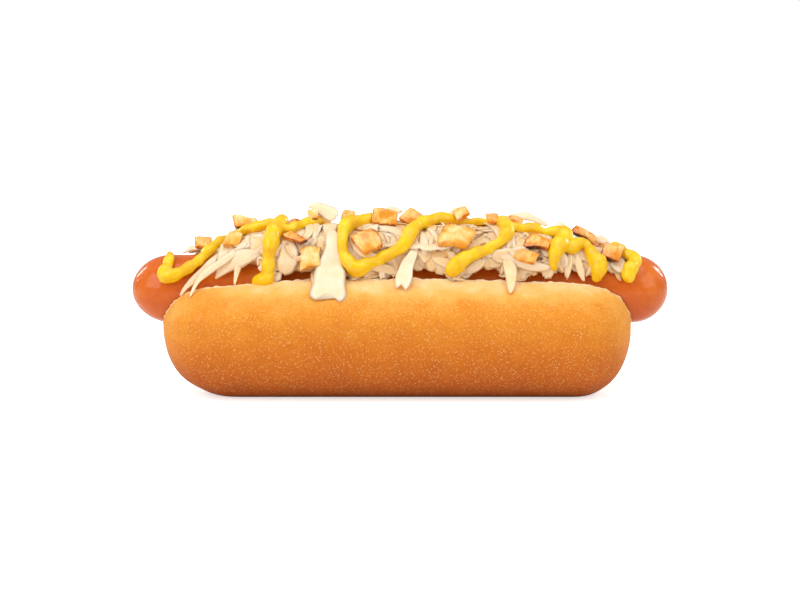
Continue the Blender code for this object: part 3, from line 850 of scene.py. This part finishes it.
def make_core(material):
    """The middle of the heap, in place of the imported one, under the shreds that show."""
    rings = []
    for x in spaced(HEAP_START + 5, HEAP_END - 3, 190):
        front, back = foot(x, -1) - 1.0, foot(x, 1) - 1.0
        near_end = min(1.0, (x - HEAP_START - 3) / 10, (HEAP_END - 1 - x) / 10)
        ring = []
        for d in spaced(-front, back, CORE_STEPS_OVER):
            point, normal = hill(x, d)
            near_foot = min(1.0, min(front + d, back - d) / 5)
            furrow = 0.7 * rumple((x, 0.5 * d, 0), 3.6, 12) + 0.35 * rumple((x, 0.4 * d, 3), 1.7, 13)
            lift = normal * (-CORE_SINK + furrow) * max(0.15, near_foot) * max(0.3, near_end)
            ring.append(point + lift)
        first, last = ring[0], ring[-1]
        axis = SAUSAGE_AXIS_HEIGHT
        start = math.atan2(last.y, last.z - axis)
        stop = math.atan2(first.y, first.z - axis)
        for t in spaced(start, stop, CORE_STEPS_UNDER)[1:-1]:
            reach = SAUSAGE_RADIUS - 0.6
            ring.append(Vector((x, reach * math.sin(t), axis + reach * math.cos(t))))
        rings.append(ring)
    made = loft("kraut_core", rings, material=material)
    count = len(made.data.vertices)
    set_vectors(made.data, "grain", [v.co for v in made.data.vertices])
    # Painted shade: the core is darker than the shreds over it.
    set_floats(made.data, "tone", [CORE_SHADED_TONE] * count)
    return made


class Shreds:
    """Many shreds in one mesh, with the way across and along each of them for the material."""

    def __init__(self):
        self.points, self.faces, self.grain, self.tone, self.rim = [], [], [], [], []

    def add(self, stations, thick, cup=0.0, columns=6, tone=0.5, seed=0.0, torn=0.0, notch=0.0):
        """Add one shred. stations are (point, normal, width, twist in degrees).

        torn is how far its ends are ragged, and notch how deep its last end forks.
        """
        count = 2 * columns
        start = len(self.points)
        final = len(stations) - 1
        length = sum((b[0] - a[0]).length for a, b in zip(stations, stations[1:]))
        run = 0.0
        for i, (centre, normal, width, twist) in enumerate(stations):
            ahead = stations[min(i + 1, final)][0]
            behind = stations[max(i - 1, 0)][0]
            along = (ahead - behind).normalized()
            if i:
                run += (centre - stations[i - 1][0]).length
            across = along.cross(normal).normalized()
            up = across.cross(along).normalized()
            turned = Matrix.Rotation(math.radians(twist), 3, along)
            across, up = turned @ across, turned @ up
            slot = [-1 + 2 * k / columns for k in range(columns + 1)]
            upper = [(v, 1) for v in slot]
            lower = [(v, -1) for v in reversed(slot[1:-1])]
            first = run < length / 2
            to_end = run if first else length - run
            for v, face in upper + lower:
                body = math.sqrt(max(0.0, 1 - v**2)) ** 0.6
                rise = face * thick / 2 * body - cup * width * v * v
                ragged = rumple((1.7 * v, seed, 9.0 * first), 1.0, 21)
                pull = torn * max(0.0, 1 - to_end / (3 * torn + 0.01)) * ragged
                if notch and not first:
                    pull -= notch * max(0.0, 1 - to_end / (2.5 * notch)) * (1 - abs(v) ** 1.5)
                self.points.append(centre + across * v * width / 2 + up * rise + along * pull)
                self.grain.append((v * width / 2 * MM + seed, run * MM, seed))
                self.tone.append(tone)
                self.rim.append(abs(v))
        rings = len(stations)
        for r in range(rings - 1):
            for k in range(count):
                here, after = start + r * count + k, start + r * count + (k + 1) % count
                self.faces.append((here, here + count, after + count, after))
        self.faces.append(tuple(start + k for k in range(count)))
        self.faces.append(tuple(start + (rings - 1) * count + k for k in reversed(range(count))))

    def finish(self, name, material):
        made = mesh_object(name, self.points, self.faces, material)
        set_floats(made.data, "tone", self.tone)
        set_floats(made.data, "rim", self.rim)
        set_vectors(made.data, "grain", self.grain)
        return made


def tapered(share, width, sharp=0.2, blunt=0.3):
    """The width of a shred this far along it: narrower at both ends."""
    ends = min(min(share, 1 - share) / sharp, 1.0)
    return width * (blunt + (1 - blunt) * (1 - (1 - ends) ** 2) ** 0.5)


TAUT_CENTRE = Vector((0.0, 0.0, 20.0))
SHRED_OVERHANG = 0.8
LAID_THICKNESS = 0.38
CREST_TWIST = 62
BROAD_STRAYS, NARROW_STRAYS = 250, 170


def taut(stations, rounds=150):
    """The same shred, pulled straight across the hollows that it spans, away from the bun's middle."""
    points = [s[0].copy() for s in stations]
    for _ in range(rounds):
        for i in range(1, len(points) - 1):
            outwards = ((points[i] - TAUT_CENTRE) * Vector((0, 1, 1))).normalized()
            pull = ((points[i - 1] + points[i + 1]) / 2 - points[i]).dot(outwards)
            if pull > 0:
                points[i] += outwards * pull
    normals = []
    for i, (_, normal, *_) in enumerate(stations):
        along = points[min(i + 2, len(points) - 1)] - points[max(i - 2, 0)]
        normals.append((normal - along * normal.dot(along) / along.length_squared).normalized())
    return [(p, n, *s[2:]) for p, n, s in zip(points, normals, stations)]


def even(stations, step=0.7):
    """The same shred with its stations evenly spaced and its bends eased."""
    rows = np.array([[*p, *n, width, twist] for p, n, width, twist in stations])
    run = np.concatenate([[0], np.cumsum(np.linalg.norm(np.diff(rows[:, :3], axis=0), axis=1))])
    places = np.linspace(0, run[-1], max(6, int(run[-1] / step)))
    rows = np.stack([np.interp(places, run, column) for column in rows.T], axis=1)
    for _ in range(4):
        rows[1:-1] = (rows[:-2] + 2 * rows[1:-1] + rows[2:]) / 4
    return [(Vector(r[:3]), Vector(r[3:6]).normalized(), r[6], r[7]) for r in rows]


def stray_shred(shreds, chance, x, down, heading, length, width, lift, thick, tone, wander=0.22):
    """A shred that wanders over the heap, with a station for each millimetre."""
    count = max(5, int(length))
    path, bend = [], chance.gauss(0, 0.04)
    phase, twist = chance.uniform(0, 6.28), chance.gauss(0, 6)
    for i in range(count + 1):
        side = -1 if down < 0 else 1
        to_foot = foot(x, side) + SHRED_OVERHANG - abs(down)
        if not (HEAP_START + 1 < x < HEAP_END - 1) or to_foot < 0:
            break
        near_foot = min(1.0, to_foot / 6, (x - HEAP_START) / 12, (HEAP_END - x) / 12)
        rise = lift * max(near_foot, 0.1) + 0.14 * math.sin(phase + 0.3 * i) * near_foot
        point, normal = hill(x, down, rise)
        path.append((point, normal, twist))
        twist += chance.gauss(0, 4)
        heading += bend + chance.gauss(0, wander) / 3
        x += math.cos(heading)
        down += math.sin(heading)
    if len(path) < 5:
        return
    path = taut(path, 12)
    total = len(path) - 1
    seed = chance.uniform(0, 9)
    blunt, sharp = chance.uniform(0.15, 0.75), chance.uniform(0.08, 0.4)
    stations = []
    for i, (centre, normal, turn) in enumerate(path):
        ahead, behind = path[min(i + 1, total)][0], path[max(i - 1, 0)][0]
        sideways = (ahead - behind).cross(normal).normalized()
        sway = 0.16 * width * rumple((i * 1.1, seed, 2.0), 2.2, 22)
        wide = width * (1 + 0.30 * rumple((i * 1.1, seed, lift), 2.2, 14))
        stations.append((centre + sideways * sway, normal, tapered(i / total, wide, sharp, blunt), turn))
    columns = 6 if width > 2.5 else 4
    cup = chance.uniform(-0.06, 0.14)
    shreds.add(stations, thick, cup, columns, tone, seed, torn=min(1.6, 0.5 * width))


def laid_shred(shreds, chance, line, lift, tone, notch=0.0):
    """A shred laid on the front along a given line: line is of (x, height as seen, width)."""
    places = through([(x, facing(x, h), w) for x, h, w in line], 6)
    total = len(places) - 1
    seed = chance.uniform(0, 9)
    stations = []
    for i, (x, down, width) in enumerate(places):
        share = i / total
        ends = min(share, 1 - share)
        rise = lift * (0.5 + 0.5 * min(1.0, ends * 3)) + 0.25 * rumple((x, down, lift), 3, 15)
        point, normal = hill(x, down, rise)
        edge = 1 + 0.22 * rumple((x, down, 5), 1.5, 16)
        wide = max(0.3, tapered(share, width * edge, 0.08, 0.6))
        stations.append((point, normal, wide, 8 * rumple((i, seed, 0), 4, 23)))
    columns = 10 if notch else 6
    cup = chance.uniform(0.0, 0.07)
    shreds.add(even(taut(stations)), LAID_THICKNESS, cup, columns, tone, seed, torn=1.1, notch=notch)


def crest_shred(shreds, chance, line):
    """A shred that stands up at the crest: line is of (x, way down the hill, width, height over the hill)."""
    places = through(line, 5)
    total = len(places) - 1
    stations = []
    for i, (x, down, width, lift) in enumerate(places):
        point, normal = hill(x, down, lift)
        wide = width * (1 + 0.2 * rumple((x, 0, 7), 1.6, 24))
        stations.append((point, normal, tapered(i / total, wide, 0.1), CREST_TWIST))
    shreds.add(stations, 0.4, cup=0.04, tone=0.9, seed=chance.uniform(0, 9), torn=1.0)


# Shreds that stand out in front, each a line of (x, height as seen, width).
FRONT_SHREDS = [
    [(-58.5, 46.5, 1.6), (-60.8, 43.6, 2.8), (-64.3, 39.8, 2.6), (-67.8, 36.0, 2.0), (-70.3, 33.2, 0.9)],
    [(-49.6, 49.7, 1.8), (-54.8, 44.6, 2.4), (-60.3, 39.8, 2.4), (-64.3, 36.2, 1.9), (-66.8, 33.0, 0.8)],
    [(-44.2, 47.0, 1.2), (-47.5, 46.4, 4.2), (-51.0, 45.3, 6.4), (-55.0, 43.2, 5.2), (-59.2, 38.6, 1.2)],
    [(-51.6, 43.4, 2.6), (-52.2, 40.2, 1.8), (-52.8, 36.6, 0.9)],
    [(-55.8, 50.4, 3.0), (-56.4, 47.0, 4.2), (-58.0, 44.0, 2.0)],
    [(-36.6, 51.0, 4.0), (-35.4, 47.0, 6.4), (-36.0, 43.4, 6.8), (-38.0, 40.6, 4.6)],
    [(-27.4, 59.0, 2.2), (-27.0, 54.0, 2.6), (-27.4, 49.2, 2.0)],
    [(-22.7, 58.8, 3.2), (-22.6, 55.8, 6.0), (-22.8, 52.6, 3.4)],
    [(-27.2, 41.6, 1.2), (-27.6, 38.6, 1.9), (-26.6, 35.4, 1.9), (-25.6, 33.4, 1.0)],
    [(-6.6, 55.4, 2.4), (-2.4, 54.2, 4.0), (1.6, 51.8, 2.2)],
    [(-2.0, 46.0, 1.5), (-1.8, 44.2, 1.4), (-1.3, 42.0, 0.6)],
    [(7.2, 53.4, 2.2), (7.8, 49.4, 3.0), (8.0, 45.2, 1.6)],
    [(8.8, 54.8, 1.2), (11.2, 53.0, 2.0), (12.2, 49.8, 1.0)],
    [(22.6, 58.4, 2.6), (28.2, 57.6, 4.2), (31.6, 54.4, 3.8), (32.4, 50.6, 2.0)],
    [(31.4, 46.8, 1.6), (35.4, 44.4, 3.4), (40.2, 42.4, 3.6), (45.0, 41.0, 3.0), (48.6, 42.4, 1.2)],
    [(33.8, 45.4, 2.4), (34.8, 41.6, 4.4), (35.4, 38.0, 4.2), (34.9, 34.0, 1.4)],
    [(54.8, 48.2, 1.2), (54.2, 43.8, 2.4), (53.2, 38.6, 1.6)],
    [(55.8, 48.6, 1.4), (57.4, 42.6, 2.8), (58.8, 37.8, 1.6)],
    [(58.8, 49.0, 1.2), (61.4, 46.8, 1.9), (61.6, 42.6, 1.9), (59.6, 39.6, 1.0)],
    [(-16.0, 52.5, 2.0), (-12.5, 46.5, 3.0), (-7.0, 44.0, 2.4), (-1.0, 44.5, 1.4)],
    [(-13.0, 43.5, 2.0), (-6.0, 41.8, 3.4), (1.0, 40.4, 2.2)],
    [(10.0, 45.0, 1.6), (15.0, 43.6, 3.2), (19.5, 41.6, 2.4)],
    [(27.0, 45.4, 2.6), (24.5, 42.5, 3.6), (20.5, 40.6, 2.2)],
    [(36.0, 53.0, 2.0), (35.6, 48.6, 3.2), (37.6, 44.6, 2.0)],
    [(36.8, 46.0, 1.2), (33.4, 42.6, 1.8), (32.2, 39.6, 0.9)],
    [(47.0, 55.0, 2.0), (45.6, 50.0, 3.0), (47.2, 45.6, 2.0)],
    [(-47.0, 53.6, 4.0), (-45.0, 50.2, 6.4), (-47.2, 47.2, 3.0)],
    [(-30.6, 57.6, 2.0), (-29.0, 53.6, 3.0), (-31.8, 50.4, 1.6)],
]
# The broad sheets that hang over the bun's lip and end in two toes, each with how deep it forks.
FORKED_SHREDS = [
    (
        [(-21.8, 54.0, 4.0), (-21.5, 48.6, 4.8), (-21.7, 44.4, 6.6),
         (-22.4, 37.4, 10.0), (-22.8, 31.4, 13.0)],
        2.8,
    ),
    ([(5.6, 50.4, 1.6), (4.2, 45.6, 2.8), (2.6, 41.4, 4.2), (1.2, 37.6, 5.4), (0.4, 35.0, 5.0)], 2.0),
]
# Shreds at the crest, seen against what is behind: (x, way down the hill, width, height over the hill).
CREST_SHREDS = [
    [(-71.0, 5.0, 1.2, 1.0), (-68.4, 5.0, 2.4, 1.6), (-65.0, 5.5, 2.0, 1.6)],
    [(-29.4, 0.6, 1.0, 6.2), (-27.4, 0.8, 3.4, 6.0), (-24.2, 0.4, 4.8, 4.4), (-20.8, -1.2, 4.4, 2.6)],
    [(-5.6, 2.0, 1.4, 3.2), (-2.6, 2.6, 2.6, 4.6), (0.6, 3.0, 1.2, 3.6)],
    [(16.0, 2.0, 1.2, 3.0), (18.6, 2.2, 2.6, 4.4), (21.2, 2.6, 1.2, 3.4)],
    [(34.8, 3.4, 1.6, 2.6), (38.6, 3.0, 2.8, 3.0), (43.6, 3.0, 3.0, 3.0), (48.2, 3.8, 2.2, 2.6)],
    [(50.4, 3.0, 1.2, 2.6), (52.8, 3.0, 2.8, 3.6), (55.4, 3.6, 1.4, 2.4)],
    [(62.4, 1.2, 1.6, 1.8), (65.6, 1.0, 3.2, 2.6), (68.6, 1.6, 1.6, 1.6)],
    [(-54.0, 2.4, 1.2, 1.8), (-52.6, 1.4, 2.8, 4.2), (-48.6, 3.0, 1.6, 2.0)],
]


def make_shreds(material):
    """Every loose shred: narrow ones in one piece, broad ones in another."""
    chance = random.Random(SEED)
    narrow, broad = Shreds(), Shreds()
    for _ in range(BROAD_STRAYS):
        x = chance.uniform(HEAP_START + 4, HEAP_END - 5)
        side = chance.choice((-1, 1))
        down = side * chance.uniform(0.0, 0.9) * foot(x, side)
        heading = side * chance.gauss(math.pi / 2, 0.7)
        lift = chance.uniform(-0.3, 0.15)
        # Tone rises with lift: lower shreds get painted shade, higher ones painted light.
        tone = min(0.95, max(0.2, chance.gauss(0.62, 0.16) + 0.3 * lift))
        length, width, thick = chance.uniform(8, 19), chance.uniform(3.0, 7.0), chance.uniform(0.25, 0.4)
        stray_shred(broad, chance, x, down, heading, length, width, lift, thick, tone, wander=0.12)
    for _ in range(NARROW_STRAYS):
        x = chance.uniform(HEAP_START + 3, HEAP_END - 4)
        side = chance.choice((-1, 1))
        down = side * chance.uniform(0.0, 1.0) * foot(x, side)
        if chance.random() < 0.25:
            heading = chance.uniform(0, math.pi)
        else:
            heading = side * chance.gauss(math.pi / 2, 0.75)
        lift = chance.uniform(-0.2, 0.35)
        # Tone rises with lift: lower shreds get painted shade, higher ones painted light.
        tone = min(1.0, max(0.2, chance.gauss(0.6, 0.2) + 0.2 * lift))
        length, width = chance.uniform(7, 20), chance.uniform(0.9, 2.3)
        stray_shred(narrow, chance, x, down, heading, length, width, lift, 0.4, tone)
    for line in FRONT_SHREDS:
        laid_shred(broad, chance, line, lift=chance.uniform(0.4, 0.8), tone=chance.uniform(0.5, 0.85))
    for line, notch in FORKED_SHREDS:
        laid_shred(broad, chance, line, lift=1.1, tone=0.85, notch=notch)
    for line in CREST_SHREDS:
        crest_shred(broad, chance, line)
    made = [narrow.finish("kraut_shreds", material), broad.finish("kraut_leaves", material)]
    for obj in made:
        face_outwards(obj)
    return made


# ---- mustard ----


def make_mustard(name, routes, material):
    """Round, uneven strokes of mustard along the routes, grown together where they cross."""
    shape = bmesh.new()
    turns = [2 * math.pi * k / MUSTARD_SIDES for k in range(MUSTARD_SIDES)]
    for route in routes:
        line = []
        for x, turn, radius in through(route, MUSTARD_STEPS):
            radius *= 1 + 0.24 * rumple((x, 0.3 * turn, 0), 3.0, 17)
            line.append((topping_point(x, turn, MUSTARD_LIFT * radius), radius))
        rings = []
        for i, (centre, radius) in enumerate(line):
            ahead = line[min(i + 1, len(line) - 1)][0]
            behind = line[max(i - 1, 0)][0]
            turned = (ahead - behind).to_track_quat("Z", "X").to_matrix()
            ring = [centre + turned @ Vector((radius * math.cos(t), radius * math.sin(t), 0)) for t in turns]
            rings.append([shape.verts.new(p * MM) for p in ring])
        for here, after in zip(rings, rings[1:]):
            for k in range(MUSTARD_SIDES):
                across = (k + 1) % MUSTARD_SIDES
                shape.faces.new((here[k], here[across], after[across], after[k]))
        shape.faces.new(reversed(rings[0]))
        shape.faces.new(rings[-1])
        for centre, radius in (line[0], line[-1]):
            place = Matrix.Translation(centre * MM)
            bmesh.ops.create_icosphere(shape, subdivisions=3, radius=radius * MM, matrix=place)
    mesh = bpy.data.meshes.new(name)
    shape.to_mesh(mesh)
    shape.free()
    mesh.materials.append(material)
    made = put_in_scene(name, mesh)
    remesh(made, MUSTARD_VOXEL, 5)
    normals = [v.normal.copy() for v in made.data.vertices]
    for vert, normal in zip(made.data.vertices, normals):
        p = vert.co / MM
        vert.co += normal * MM * (0.36 * rumple(p, 3.0, 18) + 0.10 * rumple(p, 1.5, 19))
    return made


# ---- onion ----


def make_onion(number, spec, material):
    """A diced piece of an onion layer: a curved slab with soft corners, browned round its rim."""
    x, turn, lift, length, width, thickness, spin, tilt = spec
    chance = random.Random(100 + number)
    shape = bmesh.new()
    bmesh.ops.create_cube(shape, size=1.0)
    bmesh.ops.subdivide_edges(shape, edges=shape.edges[:], cuts=15, use_grid_fill=True)
    mesh = bpy.data.meshes.new(f"onion_look_{number:02d}")
    shape.to_mesh(mesh)
    shape.free()
    angle = math.radians(turn)
    cos, sin = math.cos(angle), math.sin(angle)
    upright = Matrix(((1, 0, 0), (0, cos, sin), (0, -sin, cos)))
    tilted = Euler((math.radians(tilt), 0, 0)).to_matrix()
    spun = Euler((0, 0, math.radians(spin))).to_matrix()
    turned = upright @ tilted @ spun
    centre = topping_point(x, turn, lift)
    shear = chance.uniform(-0.22, 0.22)
    hot_u, hot_v = chance.uniform(-1, 1), chance.uniform(-1, 1)
    seed = 20 + 3.1 * number
    fried = ONION_FRIED.get(number, 0.0)
    browned, grain = [], []
    for vert in mesh.vertices:
        u, v, w = (2 * c for c in vert.co)
        rounding = max(1.0, sum(abs(c) ** ONION_ROUND for c in (u, v, w)) ** (1 / ONION_ROUND))
        u, v, w = u / rounding, v / rounding, w / rounding
        taper = 1 - (1 - ONION_TAPER) * (u / 2 + 0.5)
        bend = (u + shear * v) * length / 2 / ONION_LAYER_RADIUS
        thin = 1 - 0.18 * v * v - 0.12 * u * u
        reach = ONION_LAYER_RADIUS + w * ONION_SLIMNESS * thickness / 2 * thin
        rise = reach * math.cos(bend) - ONION_LAYER_RADIUS
        local = Vector((reach * math.sin(bend), v * width / 2 * taper, rise))
        outline = 0.9 * rumple(local, 5.5, seed), 0.9 * rumple(local, 5.5, seed + 1)
        local += Vector((*outline, 0.6 * rumple(local, 3.4, seed + 2)))
        local += Vector([rumple(local, 1.2, seed + k) for k in (3, 4, 5)]) * 0.10
        vert.co = (centre + turned @ local) * MM
        grain.append((u * length / 2 * MM, v * width / 2 * MM, seed))
        rim = max(abs(u), abs(v)) ** 10
        hot = smooth_step(0.5 + 0.4 * (u * hot_u + v * hot_v))
        browned.append(0.06 + fried + 0.72 * rim * (0.4 + 0.6 * hot) + 0.26 * hot * hot)
    mesh.materials.append(material)
    mesh.shade_smooth()
    made = put_in_scene(mesh.name, mesh)
    face_outwards(made)
    set_floats(mesh, "brown", browned)
    set_floats(mesh, "tone", [chance.uniform(-0.2, 0.1)] * len(mesh.vertices))
    set_vectors(mesh, "grain", grain)
    return made


# ---- put together ----

crust, skin, kraut, yellow, flesh = (
    crust_material(), sausage_material(), kraut_material(), mustard_material(), onion_material(),
)
looks = [
    (make_bun(crust), ["bun"], "crust"),
    (make_sausage(skin), ["sausage"], "sausage_skin"),
    (make_core(kraut), ["sauerkraut"], "kraut"),
    (make_mustard("mustard_look", MUSTARD_ZIGZAG, yellow), ["mustard"], "mustard"),
    (make_mustard("mustard_end_look", MUSTARD_STROKE, yellow), ["mustard_end"], "mustard"),
]
looks += [(shreds, ["sauerkraut"], "kraut") for shreds in make_shreds(kraut)]
for number, spec in enumerate(ONIONS, start=1):
    looks.append((make_onion(number, spec, flesh), [f"onion_{number:02d}"], "onion"))
for obj, nodes, slot in looks:
    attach(obj, "root")
    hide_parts(*nodes)

# ---- stage, light and camera ----


FLOOR_HALF_SIZE = 6000
FLOOR_GLOW_NEAR, FLOOR_GLOW_FAR = 0.6, 1.0
FLOOR_GLOW_FROM, FLOOR_GLOW_TO = 0.15, 0.8
WORLD_LEVEL = 0.42
CAMERA_DISTANCE = 0.725
CAMERA_AIM_HEIGHT = 0.030
# (name, place, what it is aimed at, size, watts)
LAMPS = [
    ("overhead", (0.0, -0.15, 0.75), (0, 0, 0.03), (0.9, 0.5), 3.2),
    ("left", (-0.60, -0.45, 0.40), (-0.02, 0, 0.03), (0.60, 0.60), 2.8),
    ("right", (0.62, -0.40, 0.40), (0.02, 0, 0.03), (0.60, 0.60), 1.8),
    ("behind_left", (-0.74, 0.58, 0.40), (-0.08, 0, 0.035), (0.10, 0.34), 1.6),
    ("behind_right", (0.74, 0.58, 0.40), (0.08, 0, 0.035), (0.10, 0.34), 1.6),
]


def make_floor():
    """A white floor that keeps the object's shadow, and that reads as white all round it."""
    m = Nodes("floor", Base_Color=(0.9, 0.9, 0.9, 1), Roughness=1.0, Specular_IOR_Level=0.0)
    away = m.node("VectorMath", operation="LENGTH")
    m.link(m.place(), away.inputs[0])
    glow = m.between(away.outputs["Value"], FLOOR_GLOW_FROM, FLOOR_GLOW_TO, FLOOR_GLOW_NEAR, FLOOR_GLOW_FAR)
    seen = m.node("LightPath").outputs["Is Camera Ray"]
    m.shader.inputs["Emission Color"].default_value = (1, 1, 1, 1)
    m.done(Emission_Strength=m.times(glow, seen))
    size = FLOOR_HALF_SIZE
    corners = [(-size, -size, 0), (size, -size, 0), (size, size, 0), (-size, size, 0)]
    mesh_object("floor", corners, [(0, 1, 2, 3)], m.material)


def make_world():
    """Dim white light from all round, which the camera and clear things see as plain white."""
    world = bpy.data.worlds.new("world")
    bpy.context.scene.world = world
    world.use_nodes = True
    tree = world.node_tree
    background = tree.nodes["Background"]
    background.inputs["Color"].default_value = (1, 1, 1, 1)
    path = tree.nodes.new("ShaderNodeLightPath")
    direct = tree.nodes.new("ShaderNodeMath")
    direct.operation = "MAXIMUM"
    level = tree.nodes.new("ShaderNodeMapRange")
    level.inputs["To Min"].default_value = WORLD_LEVEL
    level.inputs["To Max"].default_value = 1.0
    tree.links.new(path.outputs["Is Camera Ray"], direct.inputs[0])
    tree.links.new(path.outputs["Is Transmission Ray"], direct.inputs[1])
    tree.links.new(direct.outputs[0], level.inputs["Value"])
    tree.links.new(level.outputs["Result"], background.inputs["Strength"])


def make_lamp(name, place, aim, size, watts):
    """A rectangular soft lamp, white."""
    data = bpy.data.lights.new(name, "AREA")
    data.shape = "RECTANGLE"
    data.size, data.size_y = size
    data.energy = watts
    lamp = put_in_scene(name, data)
    lamp.location = place
    lamp.rotation_euler = (Vector(aim) - Vector(place)).to_track_quat("-Z", "Y").to_euler()


def make_camera():
    """A long lens in front, looking a little down."""
    data = bpy.data.cameras.new("camera")
    data.lens = 100
    data.sensor_width = 36
    camera = put_in_scene("camera", data)
    aim = Vector((0, 0, CAMERA_AIM_HEIGHT))
    camera.location = aim + Vector((0, -math.cos(VIEW_TILT), math.sin(VIEW_TILT))) * CAMERA_DISTANCE
    camera.rotation_euler = (aim - camera.location).to_track_quat("-Z", "Y").to_euler()
    data.clip_start, data.clip_end = 0.01, 20
    bpy.context.scene.camera = camera


make_floor()
make_world()
for lamp in LAMPS:
    make_lamp(*lamp)
make_camera()
bpy.context.scene.view_settings.view_transform = "Standard"
